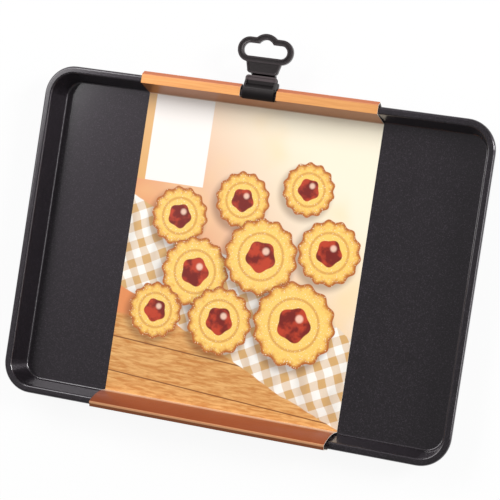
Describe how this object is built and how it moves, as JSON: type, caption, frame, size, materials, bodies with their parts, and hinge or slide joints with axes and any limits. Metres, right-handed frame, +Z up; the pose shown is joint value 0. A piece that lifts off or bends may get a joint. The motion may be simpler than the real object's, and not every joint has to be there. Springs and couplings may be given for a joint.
{
  "type": "jelly roll pan",
  "caption": "Shallow oblong baking tray with a rolled rim, carried in a folded card band with a two-part hang clip on the rim.",
  "frame": {"origin": "under the centre of the pan, on the surface that the sleeve's underside rests on", "axes": "+X along the pan's long side, +Y towards the rim that carries the hang clip, +Z up out of the pan"},
  "size_m": [0.34, 0.2813, 0.0283],
  "materials": {
    "coated_steel": "satin non-stick coating with a fine fleck",
    "board": "printed and varnished, with white raw edges",
    "gloss_black": "gloss, moulded",
    "satin_black": "satin, moulded"
  },
  "bodies": {
    "pan": {"pan": "coated_steel"},
    "sleeve": {"sleeve": "board"},
    "hanger": {"hanger": "gloss_black"},
    "front_jaw": {"front_jaw": "satin_black"}
  },
  "joints": [
    {"name": "sleeve_slide", "type": "slide", "parent": "pan", "child": "sleeve", "axis": [1, 0, 0], "range_m": [-0.052, 0.064]},
    {"name": "clip_slide", "type": "slide", "parent": "pan", "child": "hanger", "axis": [1, 0, 0], "range_m": [-0.052, 0.064]},
    {"name": "jaw_hinge", "type": "hinge", "parent": "hanger", "child": "front_jaw", "pos_m": [-0.00555, 0.1248, 0.01635], "axis": [-1, 0, 0], "range_deg": [0, 20]}
  ],
  "couplings": [
    {"joint": "clip_slide", "follows": "sleeve_slide", "ratio": 1}
  ]
}
